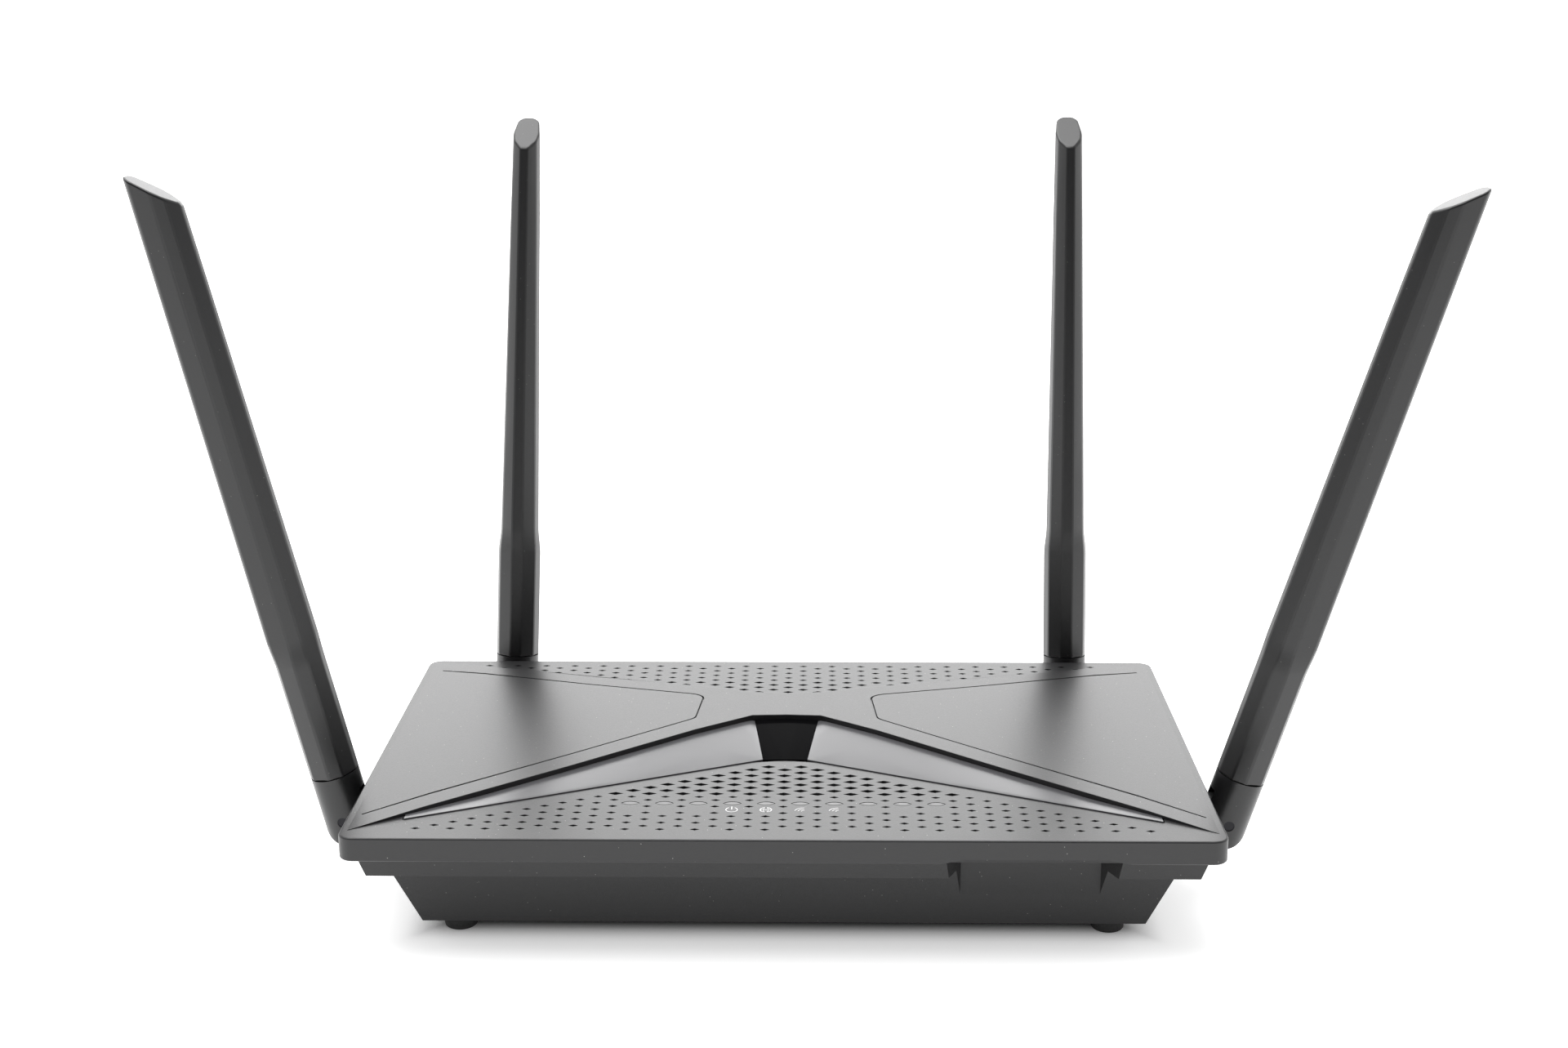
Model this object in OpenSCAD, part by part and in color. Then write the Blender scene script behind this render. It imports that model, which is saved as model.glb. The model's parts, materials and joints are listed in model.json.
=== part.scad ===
// Four-antenna wireless router on rubber feet.
// X runs across the case, Y from the front to the back, Z up.
// The origin is the middle of the case's underside, between the two wall-mounting holes.

/* [Case] */
// Width over the lid's rim
case_w = 230; // [200:1:280]
// Depth over the lid's rim
case_d = 144; // [138:1:180]
// Height of the lid's rim
rim_h = 6.5; // [5:0.5:9]
// Height of the band under the rim
band_h = 6.6; // [5:0.1:10]
// Height of the lower box
box_h = 18.3; // [17.5:0.1:26]
// Wall thickness of the casings
wall = 2; // [1.6:0.1:2.5]
// How far the rim stands out past the band
rim_overhang = 4; // [3:0.5:5]
// How far the band leans in towards its foot
band_slant = 2; // [1:0.5:3]
// Distance from the rim in to the top of the lower box
box_inset = 11; // [10:0.5:13]
// How far the lower box's sides lean in towards the underside
box_taper = 7; // [4:0.5:9]
// Radius of the lid's corners
corner_r = 4; // [2:0.5:8]

/* [Raised centre] */
// Rise of the middle bridge over the vent floors
rise = 4; // [2.5:0.5:6]
// Step from the bridge's front edge down to the trim
trim_step = 1; // [0.5:0.1:1.5]
// Depth that the trim's base is sunk in the lid
trim_sunk = 1.2; // [0.8:0.1:1.4]
// Height of the trim's lower edge over the vent floor
trim_lip = 0.4; // [0.2:0.1:0.8]
// Width and depth of the grooves round the side panels
groove = 0.6; // [0.4:0.1:1]
// Front edge of the bridge, behind the lid's middle
bridge_front_y = 11.3; // [5:0.1:16]
// Back edge of the bridge, behind the lid's middle
bridge_back_y = 30.5; // [24:0.1:40]
// Half width of the level bridge between the panels
bridge_half_w = 26; // [20:1:34]
// Lower edge of the trim, in front of the lid's middle
trim_low_y = -15.5; // [-20:0.5:-10]

/* [Vents and lights] */
// Distance between vent holes along a row
vent_pitch = 9.1; // [8:0.1:11]
// Distance between neighbouring vent rows
vent_row = 2.23; // [2:0.01:3]
// Width of a large vent hole, which is half as deep
vent_large = 4; // [3:0.1:4.2]
// Width of a small vent hole, which is half as deep
vent_small = 2.5; // [1.8:0.1:3]
// Number of indicator windows
led_count = 10; // [4:2:12]
// Width of one indicator window
led_w = 4.4; // [3:0.1:5]

/* [Antennas] */
// Length from the hinge pin to the tip
antenna_l = 185; // [120:1:200]
// Diameter of the round sleeve and of the fork
sleeve_d = 13.5; // [12:0.1:14]
// Radius of the fork's round end
fork_end_r = 7; // [6.8:0.1:7.2]
// Height of the seam between fork and sleeve over the pin
seam_z = 13; // [12:0.5:16]
// Height over the pin where the round sleeve turns into the blade
shoulder_z = 46; // [35:1:60]
// Width of the blade at its tip
tip_w = 12.6; // [10:0.1:13]
// Thickness of the blade at its tip
tip_t = 8.4; // [8:0.1:10]
// Drop of the slanted tip from its outer to its inner edge
tip_drop = 10.1; // [0:0.1:14]
// Hinge pin diameter
pin_d = 3; // [2:0.1:4]
// Thickness of the tongue between the fork's cheeks
tongue_t = 5; // [4:0.1:6]
// Diameter of the swivel shaft through the case wall
shaft_d = 8; // [7:0.1:9]
// Distance of the pins from the rim
pin_out = 8; // [7.8:0.1:10]
// Height of the swivel axes over the underside
swivel_z = 17.9; // [16:0.1:18]
// Side antennas' place, from the case's middle towards the back
side_y = -22; // [-34:1:0]
// Distance of the back antennas from the case's sides
back_inset = 26; // [24:1:34]
// Outward tilt of the left antenna as it stands
left_tilt = 12.3; // [0:0.1:30]
// Outward tilt of the right antenna as it stands
right_tilt = 15.9; // [0:0.1:30]
// Backward tilt of the back antennas as they stand
back_tilt = 6.8; // [0:0.1:30]
// Forward swing of the side antennas as they stand
side_swing = 3.5; // [0:0.1:15]
// Inward swing of the back left antenna as it stands
back_left_swing = 2; // [0:0.1:15]
// Inward swing of the back right antenna as it stands
back_right_swing = 0.5; // [0:0.1:15]

/* [Fits] */
// Radial clearance of every turning shaft
running = 0.05; // [0.02:0.01:0.1]
// Gap beside sliding and turning faces
side_gap = 0.15; // [0.1:0.01:0.3]
// Gap between a button and its hole
button_gap = 0.35; // [0.3:0.05:0.5]

/* [Feet, board and sockets] */
// Diameter of a rubber foot
foot_d = 9.4; // [8:0.1:12]
// How far a foot stands out of the underside
foot_h = 3.6; // [2:0.1:6]
// Distance from the rim to a foot's middle
foot_inset = 27.5; // [26:0.5:32]
// Distance between the two wall-mounting holes
keyhole_pitch = 110; // [80:1:120]
// Width of the circuit board
board_w = 154; // [150:1:170]
// Height of the board's underside over the case floor
board_lift = 2.6; // [2:0.1:3]
// Thickness of the circuit board
board_t = 1.6; // [1:0.1:2]
// Travel of the push buttons
button_travel = 1; // [0.5:0.1:1.5]
// Outer diameter of an antenna lead
lead_d = 1.6; // [1.2:0.1:2]

/* [Hidden] */
$fn = 48;
dark = "#2b2b2c";
case_grey = "#3a3a3b";
gloss = "#161617";
metal = "#b9bcc0";
copper = "#b87333";
hull_fn = 32;
eps = 0.01;

// Heights over the underside
band_z = box_h;
rim_z = band_z + band_h;
top_z = rim_z + rim_h;
board_z = wall + board_lift;
parts_z = board_z + board_t;
// Half sizes of the lid
hx = case_w / 2;
hy = case_d / 2;

// Outlines of the raised centre, as places along Y for a distance x from the middle
ridge_end = hx - 2;
wing_end = hx - 15;
arch_x = 10;
window_top_x = 9.2;
window_low_x = 6.2;
bridge_front = [[0, bridge_front_y], [arch_x, bridge_front_y - 0.6], [ridge_end, -hy + 5.3]];
bridge_back = [
    [0, bridge_back_y], [10, bridge_back_y + 1.2], [bridge_half_w, bridge_back_y + 6.3], [ridge_end, hy - 2.3]
];
trim_low = [[0, trim_low_y], [window_low_x, trim_low_y], [wing_end, -hy + 12.4]];
bridge_height = [
    [0, rise], [bridge_half_w, rise], [hx * 0.52, rise * 0.62], [hx * 0.83, rise * 0.31], [ridge_end, 0.05]
];
ridge_stations = [0, arch_x, bridge_half_w, hx * 0.52, hx * 0.83, ridge_end];
trim_stations = [0, arch_x, bridge_half_w, hx * 0.52, hx * 0.83, wing_end];
function bridge_z(x) = lookup(abs(x), bridge_height);
function trim_z(x) = max(trim_lip, bridge_z(x) - trim_step);
function both_sides(list) = concat(
    [for (i = [len(list) - 1:-1:1]) -list[i]], list
);

// Side panels' outline inside their groove, right side
panel = [
    [hx - 5.5, hy - 11], [bridge_half_w + 1.5, bridge_back_y - 1.2], [bridge_half_w - 1, bridge_back_y - 3.9],
    [bridge_half_w + 0.4, bridge_front_y - 2.3], [bridge_half_w + 1.5, bridge_front_y - 3.7],
    [hx - 3.7, -hy + 15.7]
];

// Vent rows: their first place along Y, their count and the row that the indicators take
front_vent_y = -hy + 6.9;
front_rows = floor((trim_low_y - 4.9 - front_vent_y) / vent_row);
led_row = 8;
back_vent_y = hy - 5;
back_rows = floor((back_vent_y - bridge_back_y - 2) / vent_row);
vent_margin = 3.5;
led_y = front_vent_y + led_row * vent_row;
led_half = (led_count - 1) / 2 * vent_pitch;
large_from_row = 11;

// Lower box
box_top_x = hx - box_inset;
box_top_y = hy - box_inset;
box_low_x = box_top_x - box_taper;
box_low_y = box_top_y - box_taper;

// Front bay, right of the middle
bay_x0 = 47;
bay_x1 = 84;
bay_flare = 6.3;
bay_back_y = -hy + 14;
bay_z = 9.4;

// Port panel in the back wall
port_half = 78;
port_y = box_top_y - 2;

// Sockets and buttons along the port panel
lan_x = -8;
lan_ports = 4;
port_pitch = 14.2;
port_w = 11.8;
port_h = 8.4;
port_depth = 13.5;
socket_h = 12.6;
socket_depth = 17;
socket_wall = 1.4;
lan_w = lan_ports * port_pitch + socket_wall;
wan_x = 35;
wan_w = port_pitch + socket_wall;
port_z = parts_z + 0.6;
jack_x = 54;
jack_w = 9;
jack_h = 11;
jack_bore_r = 2.9;
jack_z = parts_z + 5.6;
power_x = 65;
power_r = 3.6;
pairing_x = -49;
pairing_r = 2.2;
reset_x = -59;
reset_r = 0.9;
button_z = parts_z + 4.6;
board_front_y = bay_back_y + wall + 3;
board_back_y = port_y - wall - 0.6;
button_out = 1.6;
button_behind = 6.4;
switch_y = port_y - button_behind - button_travel - 0.2;

// Lip of the lower casing inside the lid, posts, screws and feet
lip_out = rim_overhang + 1.2;
lip_in = lip_out + 1.8;
case_post_x = hx - 31;
case_post_y = hy - 34;
case_post_z = 8;
case_post_r = 3.4;
screw_r = 1.3;
screw_head_r = 2.7;
board_mid_y = (board_front_y + board_back_y) / 2;
board_d = board_back_y - board_front_y;
board_post_x = board_w / 2 - 4;
board_post_y = board_d / 2 - 5;
board_screw_r = 1.1;
foot_x = hx - foot_inset;
foot_y = hy - foot_inset + 4;

// Antenna mounting pads on the case and what passes through them
pad_w = 17;
pad_z = swivel_z - 8.5;
pad_out = rim_overhang;
pad_in = box_inset + 1.5;
barrel_d = 12.6;
barrel_gap = 0.3;
barrel_end = pin_out - fork_end_r - 0.3;
collar_t = 1.6;
collar_r = shaft_d / 2 + 1.2;
knuckle_r = 6.2;
slot_top = fork_end_r + 0.6;
spigot_r = 4.6;
spigot_h = 6;
hollow_r = 3.2;
blade_z = shoulder_z + 9;

// Each antenna: place of its pin, turn of its mount, swing and tilt
pin_left = [-hx - pin_out, side_y, swivel_z];
pin_right = [hx + pin_out, side_y, swivel_z];
pin_back_left = [-hx + back_inset, hy + pin_out, swivel_z];
pin_back_right = [hx - back_inset, hy + pin_out, swivel_z];
mount_left = [pin_left, 180, -side_swing, left_tilt];
mount_right = [pin_right, 0, side_swing, right_tilt];
mount_back_left = [pin_back_left, 90, back_left_swing, back_tilt];
mount_back_right = [pin_back_right, 90, -back_right_swing, back_tilt];

// Routes of the antenna leads, from their plugs on the board to the swivel shafts
plug_left = [-62, -18, parts_z + 1.3];
plug_right = [62, -18, parts_z + 1.3];
plug_back_left = [-72, 34, parts_z + 1.3];
plug_back_right = [72, 34, parts_z + 1.3];
shaft_in = pad_in + wall + collar_t + 0.3;
lead_gap = 0.4;
// Length over which a back lead crosses to its swivel
lead_turn = 20;
lead_end_x = hx - shaft_in - lead_gap;
lead_end_y = hy - shaft_in - lead_gap;

// ---- Shared shapes ----

// Four-sided block whose top and bottom differ, centred on the Z axis
module tapered_block(x_low, y_low, z_low, x_top, y_top, z_top) {
    polyhedron(
        points = [
            [-x_low, -y_low, z_low], [x_low, -y_low, z_low], [x_low, y_low, z_low], [-x_low, y_low, z_low],
            [-x_top, -y_top, z_top], [x_top, -y_top, z_top], [x_top, y_top, z_top], [-x_top, y_top, z_top]
        ],
        faces = [[0, 1, 2, 3], [4, 7, 6, 5], [0, 4, 5, 1], [1, 5, 6, 2], [2, 6, 7, 3], [3, 7, 4, 0]]
    );
}

// Closed body through rings of points that all have the same count
module ringed(rings) {
    n = len(rings[0]);
    last = len(rings) - 1;
    polyhedron(
        points = [for (ring = rings) each ring],
        faces = concat(
            [[for (i = [n - 1:-1:0]) i]],
            [[for (i = [0:n - 1]) last * n + i]],
            [for (k = [0:last - 1], i = [0:n - 1]) each [
                [k * n + i, k * n + (i + 1) % n, (k + 1) * n + (i + 1) % n],
                [k * n + i, (k + 1) * n + (i + 1) % n, (k + 1) * n + i]
            ]]
        )
    );
}

module rounded_plate(w, d, h, r) {
    linear_extrude(h) union() {
        square([w - 2 * r, d], center = true);
        square([w, d - 2 * r], center = true);
        for (sx = [-1, 1], sy = [-1, 1]) translate([sx * (w / 2 - r), sy * (d / 2 - r)]) circle(r);
    }
}

// Places a shape four times, once in each corner
module corners(x, y) {
    for (sx = [-1, 1], sy = [-1, 1]) translate([sx * x, sy * y, 0]) children();
}

// Raised bow-tie of the lid; sink lowers its surface
module ridge(sink = 0) {
    ringed([
        for (x = both_sides(ridge_stations)) [
            [x, lookup(abs(x), bridge_front), top_z - wall / 2],
            [x, lookup(abs(x), bridge_front), top_z + bridge_z(x) - sink],
            [x, lookup(abs(x), bridge_back), top_z + bridge_z(x) - sink],
            [x, lookup(abs(x), bridge_back), top_z - wall / 2]
        ]
    ]);
}

// Wedge between the bridge's front edge and the front vents, its base sunk in the lid
module trim_wedge() {
    ringed([
        for (x = both_sides(trim_stations)) [
            [x, lookup(abs(x), trim_low), top_z - trim_sunk],
            [x, lookup(abs(x), trim_low), top_z + trim_lip],
            [x, lookup(abs(x), bridge_front), top_z + trim_z(x)],
            [x, lookup(abs(x), bridge_front), top_z - trim_sunk]
        ]
    ]);
}

module trim_outline() {
    polygon(concat(
        [for (x = both_sides(trim_stations)) [x, lookup(abs(x), trim_low)]],
        [for (x = both_sides(trim_stations)) [-x, lookup(abs(x), bridge_front)]]
    ));
}

module window_prism() {
    translate([0, 0, top_z - trim_sunk / 2]) linear_extrude(rise + wall) polygon([
        [-window_low_x, trim_low_y - 1], [window_low_x, trim_low_y - 1],
        [window_top_x, bridge_front_y + 1], [-window_top_x, bridge_front_y + 1]
    ]);
}

module diamond(w) {
    polygon([[-w / 2, 0], [0, -w / 4], [w / 2, 0], [0, w / 4]]);
}

function row_x(k, i) = (i + (k % 2 == 0 ? 0.5 : 0)) * vent_pitch;
function is_led(k, x) = (k == led_row || k == led_row - 2) && abs(x) < led_half + 1;

module vents() {
    reach = ceil(hx / vent_pitch);
    for (k = [0:front_rows], i = [-reach:reach]) {
        x = row_x(k, i);
        y = front_vent_y + k * vent_row;
        if (abs(x) < wing_end - 2 && y < lookup(abs(x), trim_low) - vent_margin && !is_led(k, x))
            translate([x, y]) diamond(k < large_from_row ? vent_small : vent_large);
    }
    for (k = [0:back_rows], i = [-reach:reach]) {
        x = row_x(k, i);
        y = back_vent_y - k * vent_row;
        if (abs(x) < wing_end - 2 && y > lookup(abs(x), bridge_back) + 1.6)
            translate([x, y]) diamond(k < large_from_row - 4 ? vent_small : vent_large * 0.8);
    }
}

// Lens outline of an indicator window
module led_outline(grow = 0) {
    intersection() {
        translate([0, -led_w * 0.45]) circle(led_w * 0.7 + grow);
        translate([0, led_w * 0.45]) circle(led_w * 0.7 + grow);
    }
}

module led_places() {
    for (i = [0:led_count - 1]) translate([(i - (led_count - 1) / 2) * vent_pitch, led_y]) children();
}

// ---- Casings ----

// Groove along the open outline of a side panel, cut to one depth under the sloping surface
module panel_groove() {
    difference() {
        translate([0, 0, top_z - wall / 2]) linear_extrude(rise + wall) for (i = [0:len(panel) - 2]) {
            along = panel[i + 1] - panel[i];
            translate(panel[i]) rotate(atan2(along[1], along[0])) translate([0, -groove / 2])
                square([norm(along), groove]);
            if (i > 0) translate(panel[i]) circle(groove / 2, $fn = 16);
        }
        ridge(sink = groove);
    }
}

module top_cover() {
    color(case_grey) union() {
        difference() {
            union() {
                translate([0, 0, rim_z]) rounded_plate(case_w, case_d, rim_h, corner_r);
                ridge();
            }
            translate([0, 0, rim_z - 1])
                rounded_plate(case_w - 2 * lip_out, case_d - 2 * lip_out, rim_h - wall + 1, corner_r);
            translate([0, 0, top_z - trim_sunk]) linear_extrude(trim_sunk + eps) trim_outline();
            translate([0, 0, top_z - wall - 1]) linear_extrude(wall + 1.5) vents();
            translate([0, 0, top_z - wall - 1]) linear_extrude(wall + 1.5) led_places() led_outline(0.1);
            for (m = [0, 1]) mirror([m, 0, 0]) panel_groove();
        }
        corners(case_post_x, case_post_y) difference() {
            translate([0, 0, case_post_z]) cylinder(r = case_post_r, h = top_z - wall / 2 - 0.5 - case_post_z);
            translate([0, 0, case_post_z - 1]) cylinder(r = screw_r + 0.05, h = 9);
        }
    }
}

module front_trim() {
    color(gloss) difference() {
        trim_wedge();
        window_prism();
    }
}

module trim_window() {
    color("#0c0c0d") intersection() {
        trim_wedge();
        window_prism();
    }
}

// Clear bar under the lid with one leg and one lens for each indicator
module light_guide() {
    bar_z = rim_z - 3;
    color("#d8dde0", 0.6) union() {
        translate([-led_half - 4, led_y - 2, bar_z]) cube([2 * led_half + 8, 4, 2]);
        led_places() translate([0, 0, bar_z + 1]) linear_extrude(top_z - bar_z - 1) led_outline();
        led_places() translate([-1, -1, parts_z + 1.2]) cube([2, 2, bar_z - parts_z]);
    }
}

module pad(x0, x1) {
    translate([x0, -pad_w / 2, pad_z]) cube([x1 - x0, pad_w, rim_z - pad_z]);
}

// Moves a shape drawn for a swivel axis along +X at the rim to one of the four antennas
module at_mount(mount) {
    translate([mount[0][0], mount[0][1], 0]) rotate([0, 0, mount[1]]) translate([-pin_out, 0, 0]) children();
}

module all_mounts() {
    for (mount = [mount_left, mount_right, mount_back_left, mount_back_right]) at_mount(mount) children();
}

// Open bay in the front wall; grow adds the walls round it
module bay_space(grow = 0) {
    translate([0, 0, bay_z - grow]) linear_extrude(rim_z - 1.4 - bay_z + 2 * grow) polygon([
        [bay_x0 - bay_flare - grow, -hy], [bay_x1 + bay_flare + grow, -hy],
        [bay_x1 + grow, bay_back_y + grow], [bay_x0 - grow, bay_back_y + grow]
    ]);
}

module case_outside() {
    tapered_block(box_low_x, box_low_y, 0, box_top_x, box_top_y, band_z);
    tapered_block(
        hx - rim_overhang - band_slant, hy - rim_overhang - band_slant, band_z - eps,
        hx - rim_overhang, hy - rim_overhang, rim_z
    );
    translate([0, 0, rim_z - 1]) difference() {
        rounded_plate(case_w - 2 * lip_out - 0.4, case_d - 2 * lip_out - 0.4, 3.6, corner_r);
        translate([0, 0, 1]) linear_extrude(4)
            square([case_w - 2 * lip_in, case_d - 2 * lip_in], center = true);
    }
    all_mounts() pad(-pad_in, -pad_out);
    translate([-port_half - wall, 0, 0]) cube([2 * (port_half + wall), port_y, rim_z]);
}

module case_inside() {
    difference() {
        union() {
            tapered_block(
                box_low_x - wall, box_low_y - wall, wall,
                box_top_x - wall, box_top_y - wall, band_z + wall + eps
            );
            translate([0, 0, band_z + wall]) linear_extrude(band_h + 5)
                square([case_w - 2 * lip_in, case_d - 2 * lip_in], center = true);
            translate([-port_half, 0, wall]) cube([2 * port_half, port_y - wall, rim_z]);
        }
        bay_space(wall);
        translate([-port_half - wall, port_y - wall, 0]) cube([2 * port_half + 2 * wall, 30, rim_z]);
        all_mounts() pad(-pad_in - wall, -pad_out);
        corners(case_post_x, case_post_y) cylinder(r = 4.2, h = case_post_z);
        corners(board_post_x, board_post_y) translate([0, board_mid_y, 0]) cylinder(r = 3, h = board_z);
    }
}

module bottom_case() {
    color(case_grey) difference() {
        case_outside();
        case_inside();
        bay_space();
        translate([-port_half, port_y, -1]) cube([2 * port_half, 40, rim_z - wall + 1]);
        all_mounts() {
            translate([-pad_in - wall - 1, 0, swivel_z]) rotate([0, 90, 0])
                cylinder(r = shaft_d / 2 + running, h = pad_in + wall + 1);
            translate([-shaft_in - 3, 0, swivel_z]) rotate([0, 90, 0])
                cylinder(r = collar_r + 0.4, h = shaft_in + 3 - pad_in - wall);
        }
        corners(case_post_x, case_post_y) {
            translate([0, 0, -1]) cylinder(r = screw_head_r + 0.3, h = 4);
            cylinder(r = screw_r + 0.25, h = case_post_z + 1);
        }
        corners(foot_x, foot_y) translate([0, 0, -eps]) cylinder(r = foot_d / 2 + 0.05, h = 0.8);
        corners(board_post_x, board_post_y) translate([0, board_mid_y, wall])
            cylinder(r = board_screw_r + 0.05, h = 9);
        for (s = [-1, 1]) translate([s * keyhole_pitch / 2, 0, -1]) {
            cylinder(r = 3.9, h = wall + 2);
            translate([-1.9, 0, 0]) cube([3.8, 9, wall + 2]);
            translate([0, 9, 0]) cylinder(r = 1.9, h = wall + 2);
        }
        for (i = [-6:6], s = [-1, 1]) translate([i * 6 - 1, s * 24 - 9, -1]) cube([2, 18, wall + 2]);
        port_openings();
    }
}

// Cut-outs in the port panel, each a little larger than what shows in it
module port_openings() {
    gap = 0.25;
    y0 = port_y - wall - 1;
    cut = wall + 2;
    for (place = [[lan_x, lan_w], [wan_x, wan_w]])
        translate([place[0] - place[1] / 2 - gap, y0, parts_z - gap])
            cube([place[1] + 2 * gap, cut, socket_h + 2 * gap]);
    translate([jack_x - jack_w / 2 - gap, y0, parts_z - gap]) cube([jack_w + 2 * gap, cut, jack_h + 2 * gap]);
    for (button = [[power_x, power_r], [pairing_x, pairing_r], [reset_x, reset_r]])
        translate([button[0], y0, button_z]) rotate([-90, 0, 0]) cylinder(r = button[1] + button_gap, h = cut);
}

module rubber_feet() {
    color("#1c1c1c") corners(foot_x, foot_y) rotate_extrude() polygon([
        [0, -foot_h], [foot_d / 2 - 1.2, -foot_h], [foot_d / 2 - 0.35, -foot_h + 0.5],
        [foot_d / 2, 0], [foot_d / 2, 0.75], [0, 0.75]
    ]);
}

module screw(head_r, shank_r, length) {
    translate([0, 0, -1.6]) difference() {
        cylinder(r = head_r, h = 1.6);
        for (a = [0, 90]) rotate([0, 0, a]) translate([-1.5, -0.3, -eps]) cube([3, 0.6, 0.9]);
    }
    cylinder(r = shank_r, h = length);
}

module case_screws() {
    color(metal) corners(case_post_x, case_post_y) translate([0, 0, 3]) screw(screw_head_r, screw_r, 12);
}

// ---- Circuit board and what it carries ----

module main_board() {
    color("#1f5a36") difference() {
        translate([-board_w / 2, board_front_y, board_z]) cube([board_w, board_d, board_t]);
        corners(board_post_x, board_post_y) translate([0, board_mid_y, board_z - 1])
            cylinder(r = board_screw_r + 0.3, h = board_t + 2);
    }
}

module board_screws() {
    color(metal) corners(board_post_x, board_post_y) translate([0, board_mid_y, parts_z]) mirror([0, 0, 1])
        screw(2.2, board_screw_r, board_t + 2);
}

module chip(x, y, w, d, h) {
    translate([x - w / 2, y - d / 2, parts_z]) cube([w, d, h]);
}

module processor() { color("#242526") chip(0, 2, 17, 17, 1.4); }
module memory_chip() { color("#242526") chip(20, -4, 9, 13, 1.1); }
module flash_chip() { color("#242526") chip(20, 12, 8, 6, 1.2); }
module switch_chip() { color("#242526") chip(-8, 26, 14, 14, 1.1); }

module heatsink() {
    fins = 8;
    color(metal) union() {
        translate([-14, -12, parts_z + 1.4]) cube([28, 28, 2]);
        for (i = [0:fins - 1]) translate([-14 + i * (28 - 1.2) / (fins - 1), -12, parts_z + 3])
            cube([1.2, 28, 7]);
    }
}

// Thin tinned box over a radio, open towards the board
module shield(x, y, w, d) {
    color(metal) difference() {
        chip(x, y, w, d, 3);
        translate([x - w / 2 + 0.4, y - d / 2 + 0.4, parts_z - eps]) cube([w - 0.8, d - 0.8, 2.6]);
    }
}

module radio_shield_left() { shield(-42, -10, 28, 34); }
module radio_shield_right() { shield(44, -10, 28, 34); }

module board_capacitors() {
    places = [[50, 30, 4, 9], [60, 30, 4, 9], [46, 18, 3, 7], [-58, 22, 3, 7], [-30, 16, 2.5, 6]];
    color("#39424e") for (place = places)
        translate([place[0], place[1], parts_z]) cylinder(r = place[2], h = place[3]);
}

module line_transformers() {
    color("#1d1d1e") for (x = [lan_x - 21, lan_x, lan_x + 21, wan_x]) chip(x, 38.5, 15, 7, 4);
}

module indicator_leds() {
    color("#e8e4c8") led_places() translate([-0.8, -0.6, parts_z]) cube([1.6, 1.2, 0.8]);
}

module button_switches() {
    color("#c9c9c4") union() {
        chip(power_x, switch_y - 5, 8, 10, 8.5);
        chip(pairing_x, switch_y - 2.5, 6, 5, 7);
        chip(reset_x, switch_y - 2.5, 6, 5, 7);
    }
}

module socket_block(x, w, ports) {
    difference() {
        translate([x - w / 2, port_y - socket_depth + 0.6, parts_z]) cube([w, socket_depth, socket_h]);
        for (i = [0:ports - 1])
            translate([x + (i - (ports - 1) / 2) * port_pitch, port_y - port_depth + 0.7, 0]) {
            translate([-port_w / 2, 0, port_z + 2.4]) cube([port_w, port_depth, port_h]);
            translate([-3.2, 0, port_z + 0.9]) cube([6.4, port_depth, 2]);
            translate([-2, 0, port_z]) cube([4, port_depth, 2]);
        }
    }
}

module lan_sockets() { color("#2a2a2c") socket_block(lan_x, lan_w, lan_ports); }
module wan_socket() { color("#3b4a66") socket_block(wan_x, wan_w, 1); }

// Eight spring wires along the roof of each socket
module socket_contacts() {
    roof = port_z + 2.4 + port_h;
    xs = concat([for (i = [0:lan_ports - 1]) lan_x + (i - (lan_ports - 1) / 2) * port_pitch], [wan_x]);
    color("#d9b64a") for (x = xs, i = [-3.5:1:3.5])
        translate([x + i * 1.02 - 0.2, port_y - port_depth + 0.7, roof - 1.4]) cube([0.4, 8, 0.5]);
}

module power_jack() {
    color("#1a1a1b") difference() {
        translate([jack_x - jack_w / 2, port_y - 13.4, parts_z]) cube([jack_w, 14, jack_h]);
        translate([jack_x, port_y - 9.4, jack_z]) rotate([-90, 0, 0]) difference() {
            cylinder(r = jack_bore_r, h = 11);
            translate([0, 0, -1]) cylinder(r = 1, h = 10);
        }
    }
}

// ---- Buttons ----

// Round push button with a wide foot behind the port panel
module push_button(x, r, out) {
    translate([x, port_y, button_z]) rotate([-90, 0, 0]) {
        translate([0, 0, -button_behind]) cylinder(r = r, h = button_behind + out);
        translate([0, 0, -wall - side_gap - 1]) cylinder(r = r + 1, h = 1);
    }
}

module power_button() { color("#202021") push_button(power_x, power_r, button_out); }
module pairing_button() { color("#202021") push_button(pairing_x, pairing_r, button_out); }
module reset_plunger() { color("#202021") push_button(reset_x, reset_r, -1); }

// ---- Antenna leads ----

function unit(v) = v / norm(v);
function lead_ring(p, along) = let (
    side = unit(cross(along, abs(along[2]) > 0.9 ? [1, 0, 0] : [0, 0, 1])),
    up = cross(side, along)
) [for (a = [0:45:315]) p + lead_d / 2 * (side * cos(a) + up * sin(a))];

// Round lead swept along the points of its route
module lead(route) {
    last = len(route) - 1;
    color("#151516") ringed([
        for (i = [0:last]) lead_ring(route[i], unit(route[min(i + 1, last)] - route[max(i - 1, 0)]))
    ]);
}

// Smooth route from a plug up and across to a swivel shaft's inner end
function blend(t) = t * t * (3 - 2 * t);
function lead_route(plug, far) = [
    for (t = [0:0.0625:1]) [
        plug[0] + (far[0] - plug[0]) * t,
        plug[1] + (far[1] - plug[1]) * blend(t),
        plug[2] + (far[2] - plug[2]) * blend(min(1, t * 1.2))
    ]
];
// A back lead runs straight back first where the case is deep, and crosses behind the case post
function back_route(plug, far) = let (start = max(plug[1], far[1] - lead_turn)) concat(
    start > plug[1] + lead_d ? [plug] : [],
    [for (t = [0:0.0625:1]) [
        plug[0] + (far[0] - plug[0]) * blend(t),
        start + (far[1] - start) * t,
        plug[2] + (far[2] - plug[2]) * blend(min(1, t * 1.2))
    ]]
);

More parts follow.
